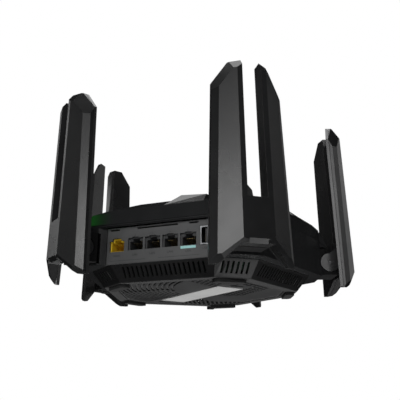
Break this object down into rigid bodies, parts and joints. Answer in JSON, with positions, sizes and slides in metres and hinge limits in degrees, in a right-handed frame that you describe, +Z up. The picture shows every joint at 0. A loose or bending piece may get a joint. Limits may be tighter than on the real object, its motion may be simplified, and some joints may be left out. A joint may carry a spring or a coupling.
{
  "type": "wireless router",
  "caption": "Low five-sided wireless router with a rear row of network sockets and upright twin-blade antennas hinged at its corners.",
  "frame": {"origin": "centre of the object's plan outline, on the plane its feet stand on", "axes": "+Z up, the port panel faces -Y, +X along the row of sockets"},
  "size_m": [0.294, 0.2816, 0.1735],
  "materials": {
    "satin_black": "satin",
    "dark_grey": "satin",
    "mid_grey": "satin",
    "yellow_plastic": "satin",
    "jack_grey": "satin",
    "steel": "brushed",
    "rubber": "matte",
    "label_paper": "matte",
    "green_light": "glossy, lit from behind",
    "circuit_board": "solder mask",
    "aluminium": "extruded",
    "insulator_black": "satin",
    "copper": "bare",
    "liner_black": "satin gloss"
  },
  "bodies": {
    "base": {"bottom_housing": "dark_grey", "foot_1": "rubber", "foot_2": "rubber", "foot_3": "rubber", "foot_4": "rubber", "foot_5": "rubber", "rating_label": "label_paper", "upper_housing": "satin_black", "top_cover": "satin_black", "status_light_guide": "green_light", "hub_cap": "mid_grey", "io_panel": "mid_grey", "wan_jack": "yellow_plastic", "lan_jack_1": "jack_grey", "lan_jack_2": "jack_grey", "lan_jack_3": "jack_grey", "lan_jack_4": "jack_grey", "usb_port": "steel", "usb_tongue": "insulator_black", "dc_inlet": "rubber", "dc_inlet_pin": "steel", "main_board": "circuit_board", "heat_sink": "aluminium", "shield_can_left": "steel", "shield_can_right": "steel", "shield_can_centre": "steel", "hinge_bracket_1": "satin_black", "hinge_pin_1": "steel", "hinge_bracket_2": "satin_black", "hinge_pin_2": "steel", "hinge_bracket_3": "satin_black", "hinge_pin_3": "steel", "hinge_bracket_4": "satin_black", "hinge_pin_4": "steel", "hinge_bracket_5": "satin_black", "hinge_pin_5": "steel"},
    "antenna_1": {"antenna_outer_shell_1": "dark_grey", "antenna_inner_shell_1": "liner_black", "antenna_radiator_1": "copper"},
    "antenna_2": {"antenna_outer_shell_2": "dark_grey", "antenna_inner_shell_2": "liner_black", "antenna_radiator_2": "copper"},
    "antenna_3": {"antenna_outer_shell_3": "dark_grey", "antenna_inner_shell_3": "liner_black", "antenna_radiator_3": "copper"},
    "antenna_4": {"antenna_outer_shell_4": "dark_grey", "antenna_inner_shell_4": "liner_black", "antenna_radiator_4": "copper"},
    "antenna_5": {"antenna_outer_shell_5": "dark_grey", "antenna_inner_shell_5": "liner_black", "antenna_radiator_5": "copper"},
    "power_switch": {"power_button": "satin_black"},
    "reset_switch": {"reset_button": "satin_black"}
  },
  "joints": [
    {"name": "antenna_tilt_1", "type": "hinge", "parent": "base", "child": "antenna_1", "pos_m": [0.07524, -0.11321, 0.0315], "axis": [0.809, 0.5878, 0], "range_deg": [-20, 45]},
    {"name": "antenna_tilt_2", "type": "hinge", "parent": "base", "child": "antenna_2", "pos_m": [0.12173, 0.0299, 0.0315], "axis": [-0.309, 0.9511, 0], "range_deg": [-20, 45]},
    {"name": "antenna_tilt_3", "type": "hinge", "parent": "base", "child": "antenna_3", "pos_m": [0, 0.11834, 0.0315], "axis": [-1, 0, 0], "range_deg": [-20, 45]},
    {"name": "antenna_tilt_4", "type": "hinge", "parent": "base", "child": "antenna_4", "pos_m": [-0.12173, 0.0299, 0.0315], "axis": [-0.309, -0.9511, 0], "range_deg": [-20, 45]},
    {"name": "antenna_tilt_5", "type": "hinge", "parent": "base", "child": "antenna_5", "pos_m": [-0.07524, -0.11321, 0.0315], "axis": [0.809, -0.5878, 0], "range_deg": [-20, 45]},
    {"name": "power_press", "type": "slide", "parent": "base", "child": "power_switch", "axis": [0, 1, 0], "range_m": [0, 0.0008], "stiffness_N_per_m": 400},
    {"name": "reset_press", "type": "slide", "parent": "base", "child": "reset_switch", "axis": [0, 1, 0], "range_m": [0, 0.0006], "stiffness_N_per_m": 300}
  ]
}
